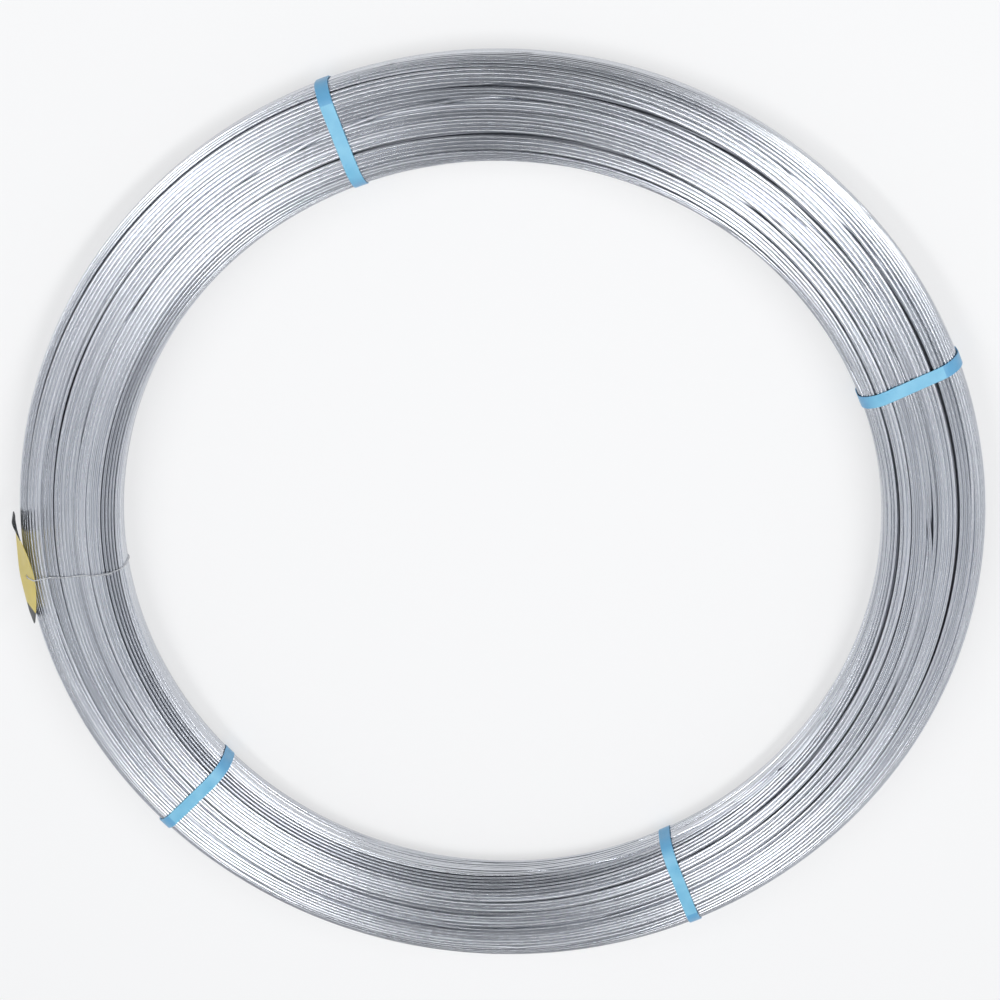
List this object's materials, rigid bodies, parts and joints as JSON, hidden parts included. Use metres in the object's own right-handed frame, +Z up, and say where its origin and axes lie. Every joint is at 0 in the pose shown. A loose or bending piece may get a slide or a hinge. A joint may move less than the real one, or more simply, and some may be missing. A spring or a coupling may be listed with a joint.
{
  "type": "coil of oval steel wire",
  "caption": "Flat-lying coil of galvanised oval steel fence wire, held by four flat plastic straps, with a yellow tag on a thin tie wire.",
  "frame": {"origin": "on the coil's axis, at the level of the floor that the coil lies on", "axes": "+Z up along the coil's axis, +Y towards the side the camera looks from, +X to the side of strap_1"},
  "size_m": [0.7658, 0.76, 0.0589],
  "materials": {
    "wire": "galvanised, satin",
    "strap": "embossed polypropylene strapping, light blue",
    "tie": "galvanised, satin",
    "tag": "yellow sheet with black ends, unprinted"
  },
  "bodies": {
    "root": {"wire_coil": "wire", "strap_1": "strap", "strap_2": "strap", "strap_3": "strap", "strap_4": "strap", "tie_wire": "tie", "tag": "tag"}
  },
  "joints": []
}
